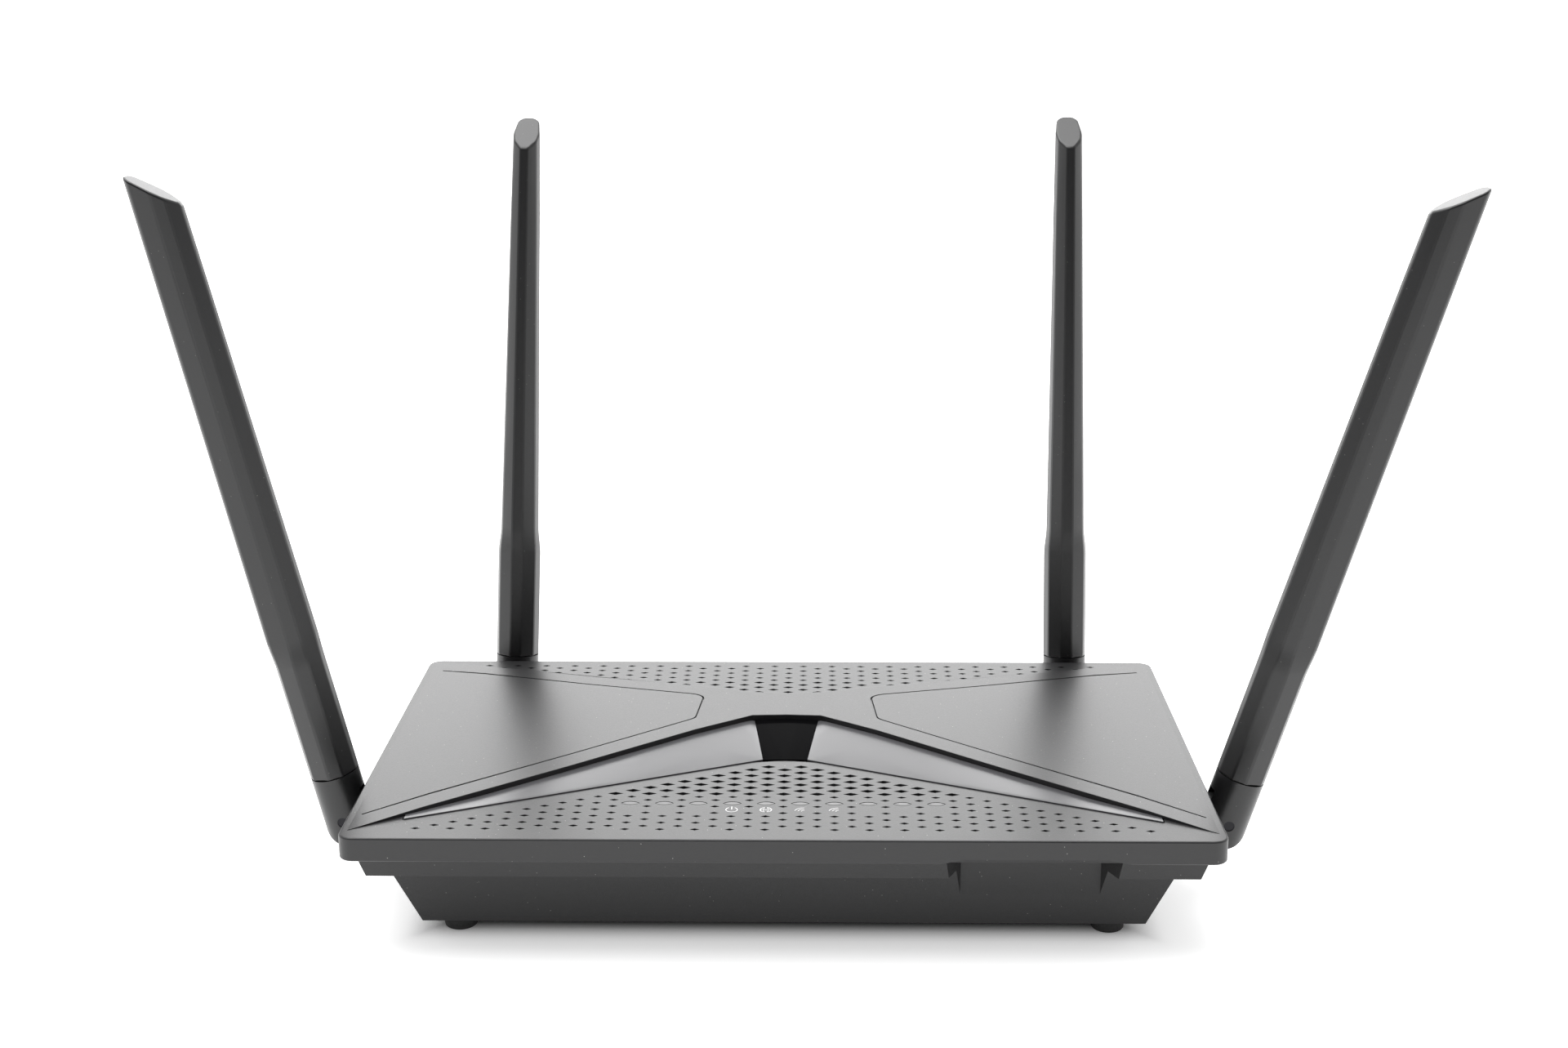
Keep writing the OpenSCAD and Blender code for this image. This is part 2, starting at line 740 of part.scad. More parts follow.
module lead_plugs() {
    color("#c8a850") for (p = [plug_left, plug_right, plug_back_left, plug_back_right])
        translate([p[0], p[1], parts_z]) cylinder(r = 1.3, h = 2.6);
}

module lead_left() { lead(lead_route(plug_left - [1.5, 0, 0], [-lead_end_x, side_y, swivel_z])); }
module lead_right() { lead(lead_route(plug_right + [1.5, 0, 0], [lead_end_x, side_y, swivel_z])); }
module lead_back_left() {
    lead(back_route(plug_back_left + [0, 1.5, 0], [-hx + back_inset, lead_end_y, swivel_z]));
}
module lead_back_right() {
    lead(back_route(plug_back_right + [0, 1.5, 0], [hx - back_inset, lead_end_y, swivel_z]));
}

// ---- Antennas: drawn with the pin at the origin, the swivel axis along X and the blade up ----

module swung(mount) {
    translate(mount[0]) rotate([0, 0, mount[1]]) rotate([mount[2], 0, 0]) children();
}

module tilted(mount) {
    swung(mount) rotate([0, mount[3], 0]) children();
}

module elbow(mount) {
    barrel_x = -pin_out - pad_out + barrel_gap;
    barrel_l = pad_out - barrel_gap + barrel_end;
    color(dark) swung(mount) difference() {
        union() {
            translate([barrel_x, 0, 0]) rotate([0, 90, 0]) cylinder(d = barrel_d, h = barrel_l);
            translate([-pin_out - shaft_in + collar_t, 0, 0]) rotate([0, 90, 0])
                cylinder(d = shaft_d, h = shaft_in - collar_t - pad_out + barrel_gap + 1);
            translate([-pin_out - shaft_in, 0, 0]) rotate([0, 90, 0]) cylinder(r = collar_r, h = collar_t);
            translate([-pin_out + barrel_end - 1, -tongue_t / 2, -knuckle_r])
                cube([pin_out - barrel_end + 1, tongue_t, 2 * knuckle_r]);
            rotate([90, 0, 0]) cylinder(r = knuckle_r, h = tongue_t, center = true);
        }
        rotate([90, 0, 0]) cylinder(r = pin_d / 2 + running, h = tongue_t + 1, center = true);
        translate([-pin_out - shaft_in - 1, 0, 0]) rotate([0, 90, 0])
            cylinder(r = lead_d / 2 + 0.4, h = shaft_in + 2);
    }
}

module hinge_pin(mount) {
    color(metal) tilted(mount) rotate([90, 0, 0]) cylinder(d = pin_d, h = sleeve_d - 0.6, center = true);
}

module fork(mount) {
    color(dark) tilted(mount) difference() {
        union() {
            intersection() {
                translate([0, 0, -fork_end_r - 1]) cylinder(d = sleeve_d, h = fork_end_r + 1 + seam_z);
                union() {
                    rotate([90, 0, 0]) cylinder(r = fork_end_r, h = sleeve_d + 2, center = true);
                    translate([-sleeve_d, -sleeve_d, 0]) cube([2 * sleeve_d, 2 * sleeve_d, seam_z]);
                }
            }
            translate([0, 0, seam_z - 1]) cylinder(r = spigot_r, h = spigot_h + 1);
        }
        translate([-sleeve_d, -tongue_t / 2 - side_gap, -fork_end_r - 1])
            cube([2 * sleeve_d, tongue_t + 2 * side_gap, fork_end_r + 1 + slot_top]);
        rotate([90, 0, 0]) cylinder(d = pin_d, h = sleeve_d + 2, center = true);
        translate([0, 0, slot_top - 1]) cylinder(r = 1.6, h = seam_z + spigot_h);
    }
}

// Six-cornered blade section with a soft ridge down its front and back
module blade_section(w, t) {
    linear_extrude(eps) polygon([
        [-w / 2, -t * 0.14], [-w * 0.26, -t * 0.43], [0, -t / 2], [w * 0.4, -t * 0.4], [w / 2, -t * 0.2],
        [w / 2, t * 0.2], [w * 0.4, t * 0.4], [0, t / 2], [-w * 0.26, t * 0.43], [-w / 2, t * 0.14]
    ]);
}

module sleeve(mount) {
    blade_w = sleeve_d + 0.2;
    blade_t = sleeve_d - 1.3;
    color(dark) tilted(mount) difference() {
        union() {
            translate([0, 0, seam_z]) cylinder(d = sleeve_d, h = shoulder_z - seam_z);
            hull() {
                translate([0, 0, shoulder_z - eps]) cylinder(d = sleeve_d, h = eps, $fn = hull_fn);
                translate([0, 0, blade_z]) blade_section(blade_w, blade_t);
            }
            hull() {
                translate([0, 0, blade_z - eps]) blade_section(blade_w, blade_t);
                translate([0, 0, antenna_l]) blade_section(tip_w, tip_t);
            }
        }
        translate([0, 0, seam_z - 1]) cylinder(r = spigot_r + running, h = spigot_h + 1.2);
        cylinder(r = hollow_r, h = antenna_l - tip_drop - 8);
        translate([tip_w / 2, 0, antenna_l]) rotate([0, -atan(tip_drop / tip_w), 0])
            translate([-40, -20, 0]) cube([60, 40, 40]);
    }
}

// Brass tube and rod of the radiator, inside the sleeve
module radiator(mount) {
    color(copper) tilted(mount) {
        translate([0, 0, seam_z + spigot_h + 4]) difference() {
            cylinder(r = 2.4, h = 34);
            translate([0, 0, -1]) cylinder(r = 1.9, h = 33);
        }
        translate([0, 0, seam_z + spigot_h + 37]) cylinder(r = 0.9, h = 40);
    }
}

module left_elbow() { elbow(mount_left); }
module left_pin() { hinge_pin(mount_left); }
module left_fork() { fork(mount_left); }
module left_sleeve() { sleeve(mount_left); }
module left_radiator() { radiator(mount_left); }
module right_elbow() { elbow(mount_right); }
module right_pin() { hinge_pin(mount_right); }
module right_fork() { fork(mount_right); }
module right_sleeve() { sleeve(mount_right); }
module right_radiator() { radiator(mount_right); }
module back_left_elbow() { elbow(mount_back_left); }
module back_left_pin() { hinge_pin(mount_back_left); }
module back_left_fork() { fork(mount_back_left); }
module back_left_sleeve() { sleeve(mount_back_left); }
module back_left_radiator() { radiator(mount_back_left); }
module back_right_elbow() { elbow(mount_back_right); }
module back_right_pin() { hinge_pin(mount_back_right); }
module back_right_fork() { fork(mount_back_right); }
module back_right_sleeve() { sleeve(mount_back_right); }
module back_right_radiator() { radiator(mount_back_right); }

top_cover();
front_trim();
trim_window();
light_guide();
bottom_case();
rubber_feet();
case_screws();
main_board();
board_screws();
processor();
heatsink();
memory_chip();
flash_chip();
switch_chip();
radio_shield_left();
radio_shield_right();
board_capacitors();
line_transformers();
indicator_leds();
button_switches();
lan_sockets();
wan_socket();
socket_contacts();
power_jack();
power_button();
pairing_button();
reset_plunger();
lead_plugs();
lead_left();
lead_right();
lead_back_left();
lead_back_right();
left_elbow();
left_pin();
left_fork();
left_sleeve();
left_radiator();
right_elbow();
right_pin();
right_fork();
right_sleeve();
right_radiator();
back_left_elbow();
back_left_pin();
back_left_fork();
back_left_sleeve();
back_left_radiator();
back_right_elbow();
back_right_pin();
back_right_fork();
back_right_sleeve();
back_right_radiator();
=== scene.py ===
import json
import math

import bmesh
import bpy
from mathutils import Matrix, Vector


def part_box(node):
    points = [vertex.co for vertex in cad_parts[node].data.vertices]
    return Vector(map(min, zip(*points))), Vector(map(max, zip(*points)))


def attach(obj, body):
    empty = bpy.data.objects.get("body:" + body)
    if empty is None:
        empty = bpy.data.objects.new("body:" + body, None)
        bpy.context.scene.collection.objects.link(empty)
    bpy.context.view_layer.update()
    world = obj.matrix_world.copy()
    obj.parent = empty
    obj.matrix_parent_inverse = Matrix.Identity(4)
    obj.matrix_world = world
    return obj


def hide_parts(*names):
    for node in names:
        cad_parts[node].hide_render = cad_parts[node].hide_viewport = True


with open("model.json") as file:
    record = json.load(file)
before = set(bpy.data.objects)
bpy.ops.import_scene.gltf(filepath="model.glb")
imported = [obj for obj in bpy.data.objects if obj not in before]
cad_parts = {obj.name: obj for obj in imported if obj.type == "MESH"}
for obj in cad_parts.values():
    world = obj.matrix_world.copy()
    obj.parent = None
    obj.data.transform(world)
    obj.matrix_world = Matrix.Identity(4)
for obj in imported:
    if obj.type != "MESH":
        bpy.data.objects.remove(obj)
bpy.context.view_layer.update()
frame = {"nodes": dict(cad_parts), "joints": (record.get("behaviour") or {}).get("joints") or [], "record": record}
scene = bpy.context.scene
MM = 0.001


# ---- Camera, table and light ----
# The router stands on a white table inside a white tent: a sky that is brighter at the back, a
# large softbox over it and a low one behind it that the lid's flat faces mirror.

def linear(colour, alpha=1.0):
    """A colour written as an sRGB hex value, as linear light."""
    values = [int(colour[i:i + 2], 16) / 255 for i in (1, 3, 5)]
    return [v / 12.92 if v <= 0.04045 else ((v + 0.055) / 1.055) ** 2.4 for v in values] + [alpha]


def add_node(tree, kind, settings=None, links=None):
    """Adds a node, sets its properties or inputs by name, and links its inputs to outputs."""
    node = tree.nodes.new(kind)
    for key, value in (settings or {}).items():
        if isinstance(key, str) and hasattr(node, key):
            setattr(node, key, value)
        else:
            node.inputs[key].default_value = value
    for key, output in (links or {}).items():
        tree.links.new(output, node.inputs[key])
    return node


def new_material(name):
    material = bpy.data.materials.new(name)
    material.use_nodes = True
    material.node_tree.nodes.clear()
    return material, material.node_tree


def linked(obj):
    scene.collection.objects.link(obj)
    return obj


camera = linked(bpy.data.objects.new("camera", bpy.data.cameras.new("camera")))
camera.data.lens = 50
camera.data.sensor_width = 36
camera.data.clip_end = 60
camera.matrix_world = (
    Matrix.Translation((0.0096, -0.5910, 0.2538))
    @ Matrix.Rotation(math.radians(0.97), 4, "Z")
    @ Matrix.Rotation(math.radians(90 - 14.93), 4, "X")
    @ Matrix.Rotation(math.radians(-0.144), 4, "Z")
)
scene.camera = camera
scene.view_settings.view_transform = "Standard"

# The table top's material glows white, a painted light that washes out the router's shadow round it; the glow
# fades out over the router's base so that the shade under the case stays dark
BASE_X, BASE_Y, BASE_FADE = 90 * MM, 46 * MM, 14 * MM
TABLE_GLOW, TABLE_HALF = 0.52, 20
table_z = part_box("rubber_feet")[0][2]
table_paint, tree = new_material("white_table_with_painted_glow")
mottle = add_node(tree, "ShaderNodeTexNoise", {"Scale": 9.0, "Detail": 2.0})
tint = add_node(
    tree, "ShaderNodeMapRange", {"To Min": 0.88, "To Max": 0.91}, {"Value": mottle.outputs["Fac"]}
)
spot = add_node(tree, "ShaderNodeTexCoord").outputs["Object"]
apart = add_node(tree, "ShaderNodeVectorMath", {"operation": "ABSOLUTE"}, {0: spot})
past = add_node(
    tree, "ShaderNodeVectorMath", {"operation": "SUBTRACT", 1: (BASE_X, BASE_Y, 0)},
    {0: apart.outputs["Vector"]},
)
beyond = add_node(tree, "ShaderNodeSeparateXYZ", None, {"Vector": past.outputs["Vector"]})
far = add_node(
    tree, "ShaderNodeMath", {"operation": "MAXIMUM"}, {0: beyond.outputs["X"], 1: beyond.outputs["Y"]}
)
# Painted light: the table's glow, none inside the router's base and full 14 mm beyond it
glow = add_node(
    tree, "ShaderNodeMapRange",
    {"interpolation_type": "SMOOTHSTEP", "From Min": 0.0, "From Max": BASE_FADE, "To Max": TABLE_GLOW},
    {"Value": far.outputs["Value"]},
)
paint = add_node(
    tree, "ShaderNodeBsdfPrincipled", {"Roughness": 0.7, "Emission Color": linear("#ffffff")},
    {"Base Color": tint.outputs["Result"], "Emission Strength": glow.outputs["Result"]},
)
add_node(tree, "ShaderNodeOutputMaterial", None, {"Surface": paint.outputs["BSDF"]})
table_mesh = bpy.data.meshes.new("table")
corners = [(x * TABLE_HALF, y * TABLE_HALF, table_z) for x, y in ((-1, -1), (1, -1), (1, 1), (-1, 1))]
table_mesh.from_pydata(corners, [], [(0, 1, 2, 3)])
table_mesh.materials.append(table_paint)
linked(bpy.data.objects.new("table", table_mesh))

# The tent is open, and so sends less light, towards the front; what is seen of it is all white
SKY_FRONT, SKY_BACK = 0.08, 1.5
world = bpy.data.worlds.new("tent")
world.use_nodes = True
tree = world.node_tree
tree.nodes.clear()
way = add_node(tree, "ShaderNodeTexCoord").outputs["Generated"]
parts = add_node(tree, "ShaderNodeSeparateXYZ", None, {"Vector": way})
bright = add_node(
    tree, "ShaderNodeMapRange",
    {"From Min": -0.9, "From Max": 0.6, "To Min": SKY_FRONT, "To Max": SKY_BACK},
    {"Value": parts.outputs["Y"]},
)
seen = add_node(tree, "ShaderNodeLightPath").outputs["Is Camera Ray"]
glow = add_node(tree, "ShaderNodeMath", {"operation": "MAXIMUM"}, {0: bright.outputs["Result"], 1: seen})
sky = add_node(
    tree, "ShaderNodeBackground", {"Color": linear("#ffffff")}, {"Strength": glow.outputs["Value"]}
)
add_node(tree, "ShaderNodeOutputWorld", None, {"Surface": sky.outputs["Background"]})
scene.world = world


def softbox(name, place, aim, width, depth, watts):
    lamp = bpy.data.lights.new(name, "AREA")
    lamp.shape = "RECTANGLE"
    lamp.size = width
    lamp.size_y = depth
    lamp.energy = watts
    box = linked(bpy.data.objects.new(name, lamp))
    box.location = place
    box.rotation_euler = (Vector(aim) - Vector(place)).to_track_quat("-Z", "Y").to_euler()


softbox("softbox_over", (-0.3, 0.1, 1.5), (0, 0, 0), 1.6, 1.2, 25)
softbox("softbox_back", (0.1, 1.9, 0.75), (0, 0, 0.05), 2.2, 0.7, 17)


# ---- Lid ----
# One moulded dark ABS shell with a low cross-shaped bridge, a fine spark-eroded texture and
# two fields of small slanted air holes. It snaps over the lower casing and hides its edge.

LID_CORNER, LID_WALL, BRIDGE_RISE = 4 * MM, 2 * MM, 4 * MM
lid_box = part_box("top_cover")
half_w, half_d = lid_box[1][0], lid_box[1][1]
lid_top = lid_box[1][2] - BRIDGE_RISE


def curve(table, x):
    """Height of a line through the table's points at a distance from the middle."""
    x = abs(x)
    for (x0, v0), (x1, v1) in zip(table, table[1:]):
        if x <= x1:
            return v0 + (v1 - v0) * (x - x0) / (x1 - x0)
    return table[-1][1]


def in_metres(table):
    """A table given in millimetres."""
    return [(a * MM, b * MM) for a, b in table]


# The bridge's and the trim's edges: places along Y for distances from the middle
bridge_front = in_metres([(0, 11.3), (10, 10.7), (113, -66.7)])
bridge_back = in_metres([(0, 30.5), (10, 31.7), (26, 36.8), (113, 69.7)])
RIDGE = (26, 59.8, 95.45, 113)
bridge_height = in_metres(zip((0,) + RIDGE, (4, 4, 2.48, 1.24, 0.05)))
trim_low = in_metres([(0, -15.5), (6.2, -15.5), (100, -59.6)])


def lofted(rings, capped=True):
    """A closed body through rings of points that all have the same count."""
    body = bmesh.new()
    loops = [[body.verts.new(p) for p in ring] for ring in rings]
    count = len(loops[0])
    for a, b in zip(loops, loops[1:]):
        for i in range(count):
            body.faces.new((a[i], a[(i + 1) % count], b[(i + 1) % count], b[i]))
    if capped:
        body.faces.new(loops[0][::-1])
        body.faces.new(loops[-1])
    bmesh.ops.recalc_face_normals(body, faces=body.faces)
    return body


def rounded_outline(width, depth, radius, z, steps=6):
    """Corner-rounded rectangle round the Z axis, counter-clockwise."""
    points = []
    for sx, sy, start in ((1, 1, 0), (-1, 1, 90), (-1, -1, 180), (1, -1, 270)):
        for k in range(steps + 1):
            a = math.radians(start + 90 * k / steps)
            points.append((
                sx * (width / 2 - radius) + radius * math.cos(a),
                sy * (depth / 2 - radius) + radius * math.sin(a), z,
            ))
    return points


def made(name, body, material=None):
    mesh = bpy.data.meshes.new(name)
    body.to_mesh(mesh)
    body.free()
    if material:
        mesh.materials.append(material)
    return linked(bpy.data.objects.new(name, mesh))


def prism(outline, z0, z1):
    return lofted([[(x, y, z0) for x, y in outline], [(x, y, z1) for x, y in outline]])


def combined(piece, tool, operation):
    """Joins a tool to a piece or cuts it away, and removes the tool."""
    cut = piece.modifiers.new("combined", "BOOLEAN")
    cut.operation = operation
    cut.solver = "MANIFOLD"
    cut.object = tool
    flattened(piece)
    bpy.data.objects.remove(tool)


def flattened(piece):
    """Turns the piece's modifiers into its mesh."""
    bpy.context.view_layer.update()
    graph = bpy.context.evaluated_depsgraph_get()
    mesh = bpy.data.meshes.new_from_object(piece.evaluated_get(graph))
    piece.modifiers.clear()
    piece.data = mesh


def shaded(piece, angle=32):
    """Smooth shading that keeps edges sharper than the angle and flat faces flat."""
    body = bmesh.new()
    body.from_mesh(piece.data)
    bmesh.ops.remove_doubles(body, verts=body.verts, dist=1e-6)
    bmesh.ops.dissolve_limit(body, angle_limit=math.radians(0.5), verts=body.verts, edges=body.edges)
    for face in body.faces:
        face.smooth = True
    for edge in body.edges:
        edge.smooth = edge.is_manifold and edge.calc_face_angle(0) < math.radians(angle)
    body.to_mesh(piece.data)
    body.free()
    even = piece.modifiers.new("even normals", "WEIGHTED_NORMAL")
    even.keep_sharp = True
    flattened(piece)
    return piece


def mounted(piece, body, slot, *nodes):
    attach(piece, body)
    if nodes:
        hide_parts(*nodes)
    return piece


DUST_APART = 2.6 * MM


def moulded(
    name, colour, roughness, grain_mm, relief_mm, spread=0.06, specks=0.0, ior=1.52, patchy=0.06
):
    """Injection-moulded plastic: even colour with faint flow marks, the mould's eroded grain as
    relief and as changes of gloss, and a few light dust specks."""
    material, tree = new_material(name)
    place = add_node(tree, "ShaderNodeTexCoord").outputs["Object"]
    flow = add_node(tree, "ShaderNodeTexNoise", {"Scale": 22.0, "Detail": 3.0}, {"Vector": place})
    shade = add_node(
        tree, "ShaderNodeMapRange", {"To Min": 1 - spread, "To Max": 1 + spread},
        {"Value": flow.outputs["Fac"]},
    )
    grain = add_node(
        tree, "ShaderNodeTexNoise", {"Scale": 1 / (grain_mm * MM), "Detail": 3.0, "Roughness": 0.6},
        {"Vector": place},
    )
    base = add_node(
        tree, "ShaderNodeVectorMath", {"operation": "SCALE", 0: linear(colour)[:3]},
        {"Scale": shade.outputs["Result"]},
    )
    tone = base.outputs["Vector"]
    if specks:
        dust = add_node(
            tree, "ShaderNodeTexVoronoi", {"Scale": 1 / DUST_APART, "Randomness": 1.0}, {"Vector": place}
        )
        close = add_node(
            tree, "ShaderNodeMapRange",
            {"From Min": 0.035, "From Max": 0.06, "To Min": specks, "To Max": 0.0},
            {"Value": dust.outputs["Distance"]},
        )
        mixed = add_node(
            tree, "ShaderNodeMix", {"data_type": "RGBA", "B": linear("#a8a6a2")},
            {"Factor": close.outputs["Result"], "A": tone},
        )
        tone = mixed.outputs["Result"]
    gloss = add_node(
        tree, "ShaderNodeMapRange", {"To Min": roughness - patchy, "To Max": roughness + patchy},
        {"Value": grain.outputs["Fac"]},
    )
    relief = add_node(
        tree, "ShaderNodeBump", {"Strength": 0.6, "Distance": relief_mm * MM},
        {"Height": grain.outputs["Fac"]},
    )
    skin = add_node(
        tree, "ShaderNodeBsdfPrincipled", {"IOR": ior},
        {"Base Color": tone, "Roughness": gloss.outputs["Result"], "Normal": relief.outputs["Normal"]},
    )
    add_node(tree, "ShaderNodeOutputMaterial", None, {"Surface": skin.outputs["BSDF"]})
    return material


# Spark-eroded ABS, 0.25 mm grain drawn a little coarse so that it shows: satin, a soft wide sheen
lid_abs = moulded("textured_abs_lid", "#1c1c1d", 0.4, 0.45, 0.035, specks=0.6)

EDGE_R, RIM_BEVEL = 0.5 * MM, 0.3 * MM
rim_low = 24.9 * MM
levels = [(RIM_BEVEL, rim_low), (0, rim_low + RIM_BEVEL)]
for k in range(5):
    a = math.radians(90 * k / 4)
    levels.append((EDGE_R * (1 - math.cos(a)), lid_top - EDGE_R * (1 - math.sin(a))))
lid = made("lid", lofted([
    rounded_outline(2 * (half_w - inset), 2 * (half_d - inset), LID_CORNER - inset, z) for inset, z in levels
]), lid_abs)


def both_sides(stations):
    return [-x for x in reversed(stations) if x > 0] + list(stations)


def bridge_ring(x):
    """Section of the bridge at x, its long edges rounded."""
    front, back, top = curve(bridge_front, x), curve(bridge_back, x), lid_top + curve(bridge_height, x)
    r = min(0.55 * MM, max(0.02 * MM, (top - lid_top) * 0.45))
    crisp = r * 0.35
    ring = [(x, front, lid_top - 1 * MM)]
    for k in range(4):
        a = math.radians(90 * k / 3)
        ring.append((x, front + crisp * (1 - math.cos(a)), top - crisp * (1 - math.sin(a))))
    for k in range(5):
        a = math.radians(90 - 90 * k / 4)
        ring.append((x, back - r * (1 - math.cos(a)), top - r * (1 - math.sin(a))))
    ring.append((x, back, lid_top - 1 * MM))
    return ring


bridge_stations = [v * MM for v in sorted((0, 5, 10, 18, 30, 45, 78, 105) + RIDGE)]
combined(lid, made("bridge", lofted([bridge_ring(x) for x in both_sides(bridge_stations)])), "UNION")
RIM_WALL = 5.2 * MM
hollow_x, hollow_y = half_w - RIM_WALL, half_d - RIM_WALL
inside = prism(
    [(-hollow_x, -hollow_y), (hollow_x, -hollow_y), (hollow_x, hollow_y), (-hollow_x, hollow_y)],
    rim_low - 2 * MM, lid_top - LID_WALL,
)
combined(lid, made("hollow", inside), "DIFFERENCE")

# Pocket for the trim, a little wider than it in front
POCKET_DEPTH, POCKET_GAP = 1.2 * MM, 0.12 * MM
trim_stations = [v * MM for v in (0, 10, 26, 59.8, 95.45, 100)]
pocket = [(x, curve(trim_low, x) - POCKET_GAP) for x in both_sides(trim_stations)]
pocket += [(x, curve(bridge_front, x)) for x in reversed(both_sides(trim_stations))]
combined(lid, made("pocket", prism(pocket, lid_top - POCKET_DEPTH, lid_top + 0.001 * MM)), "DIFFERENCE")

# Narrow grooves that set off the side panels, open towards the lid's sides
panel = [(109.5, 61), (27.5, 29.3), (25, 26.6), (26.4, 9), (27.5, 7.6), (111.3, -56.3)]
GROOVE, GROOVE_DEPTH, GROOVE_TURN = 0.6 * MM, 0.5 * MM, 1.8 * MM
for side in (-1, 1):
    marks = [Vector((side * x * MM, y * MM)) for x, y in panel]
    line = [marks[0]]
    for before, p, after in zip(marks, marks[1:], marks[2:]):
        start = p + (before - p).normalized() * min(GROOVE_TURN, (before - p).length * 0.45)
        end = p + (after - p).normalized() * min(GROOVE_TURN, (after - p).length * 0.45)
        for t in (0, 0.25, 0.5, 0.75, 1):
            line.append(start * (1 - t) ** 2 + p * 2 * t * (1 - t) + end * t * t)
    line.append(marks[-1])
    across = []
    for i, p in enumerate(line):
        along = (line[min(i + 1, len(line) - 1)] - line[max(i - 1, 0)]).normalized()
        across.append(Vector((-along.y, along.x)) * GROOVE / 2)
    sections = []
    for p, w in zip(line, across):
        z = lid_top + curve(bridge_height, p.x) - GROOVE_DEPTH
        steps = ((-0.4, z), (0.4, z), (1.6, z + 1 * MM), (-1.6, z + 1 * MM))
        sections.append([(*(p + reach * w), height) for reach, height in steps])
    combined(lid, made("groove", lofted(sections)), "DIFFERENCE")

# The rim arches up a little over the lower casing's front bay
BAY_FLARE, ARCH = 6.3 * MM, 1.3 * MM
bay = next(o["box_m"] for o in frame["record"]["physics"]["openings"] if o["name"] == "front_bay")
bay_low, bay_high = bay[0][0] - MM, bay[1][0] + MM
arch = [
    (bay_low - BAY_FLARE, rim_low - MM), (bay_low - BAY_FLARE, rim_low), (bay_low, rim_low + ARCH),
    (bay_high, rim_low + ARCH), (bay_high + BAY_FLARE, rim_low), (bay_high + BAY_FLARE, rim_low - MM),
]
arch_tool = lofted([[(x, y, z) for x, z in arch] for y in (-half_d - MM, -half_d + 3 * MM)])
combined(lid, made("arch", arch_tool), "DIFFERENCE")

# Air holes: a slanted diamond, flared at its mouth, set on every place of a staggered field
PITCH, ROW, FIRST_ROW, LED_ROW, LEDS = 9.1 * MM, 2.23 * MM, -65.1 * MM, 8, 10
led_y = FIRST_ROW + LED_ROW * ROW
led_reach = (LEDS - 1) / 2 * PITCH
places = []
for k in range(21):
    for i in range(-13, 14):
        x, y = (i + (0.5 if k % 2 == 0 else 0)) * PITCH, FIRST_ROW + k * ROW
        blank = k in (LED_ROW, LED_ROW - 2) and abs(x) < led_reach + MM
        if abs(x) < 98 * MM and y < curve(trim_low, x) - 3.5 * MM and y < -20.4 * MM and not blank:
            places.append((x, y, 2.5 * MM if k < 11 else 4 * MM))
for k in range(16):
    for i in range(-13, 14):
        x, y = (i + (0.5 if k % 2 == 0 else 0)) * PITCH, half_d - 5 * MM - k * ROW
        if abs(x) < 98 * MM and y > curve(bridge_back, x) + 1.6 * MM:
            places.append((x, y, 2.5 * MM if k < 7 else 3.2 * MM))

diamond = ((1, 0), (0, 0.5), (-1, 0), (0, -0.5))
hole_tool = made("hole_tool", lofted([
    [(x * r / 2, y * r / 2, z) for x, y in diamond]
    for r, z in ((1.0, -3.2 * MM), (1.03, -0.1 * MM), (1.08, 0.0), (1.4, 0.6 * MM))
]))

field = bpy.data.node_groups.new("air_hole_field", "GeometryNodeTree")
field.interface.new_socket("Geometry", in_out="INPUT", socket_type="NodeSocketGeometry")
field.interface.new_socket("Hole", in_out="INPUT", socket_type="NodeSocketObject")
field.interface.new_socket("Size", in_out="INPUT", socket_type="NodeSocketFloat")
field.interface.new_socket("Finish", in_out="INPUT", socket_type="NodeSocketMaterial")
field.interface.new_socket("Geometry", in_out="OUTPUT", socket_type="NodeSocketGeometry")
given = add_node(field, "NodeGroupInput")
shape = add_node(field, "GeometryNodeObjectInfo", None, {"Object": given.outputs["Hole"]})
spots = add_node(field, "GeometryNodeMeshToPoints", None, {"Mesh": given.outputs["Geometry"]})
wide = add_node(field, "GeometryNodeInputNamedAttribute", {"data_type": "FLOAT", "Name": "width"})
size = add_node(
    field, "ShaderNodeMath", {"operation": "MULTIPLY"},
    {0: wide.outputs["Attribute"], 1: given.outputs["Size"]},
)
stretch = add_node(field, "ShaderNodeCombineXYZ", {"Z": 1.0}, {"X": size.outputs[0], "Y": size.outputs[0]})
holes = add_node(
    field, "GeometryNodeInstanceOnPoints", None,
    {
        "Points": spots.outputs["Points"],
        "Instance": shape.outputs["Geometry"],
        "Scale": stretch.outputs["Vector"],
    },
)
real = add_node(field, "GeometryNodeRealizeInstances", None, {"Geometry": holes.outputs["Instances"]})
finish = add_node(
    field, "GeometryNodeSetMaterial", None,
    {"Geometry": real.outputs["Geometry"], "Material": given.outputs["Finish"]},
)
add_node(field, "NodeGroupOutput", None, {"Geometry": finish.outputs["Geometry"]})


def input_id(group, name):
    return next(s.identifier for s in group.interface.items_tree if s.name == name and s.in_out == "INPUT")


spot_mesh = bpy.data.meshes.new("air_hole_places")
spot_mesh.from_pydata([(x, y, lid_top) for x, y, w in places], [], [])
spot_mesh.attributes.new("width", "FLOAT", "POINT").data.foreach_set("value", [w for x, y, w in places])
air_holes = linked(bpy.data.objects.new("air_holes", spot_mesh))
rule = air_holes.modifiers.new("field", "NODES")
rule.node_group = field
rule[input_id(field, "Hole")] = hole_tool
rule[input_id(field, "Size")] = 1.0
rule[input_id(field, "Finish")] = lid_abs
flattened(air_holes)
combined(lid, air_holes, "DIFFERENCE")
bpy.data.objects.remove(hole_tool)


# ---- Indicator windows and icons ----
# Ten lens-shaped smoked windows sit flush in the lid over a clear light guide; below four of
# them stand small pad-printed white signs: power, network and two radio waves.

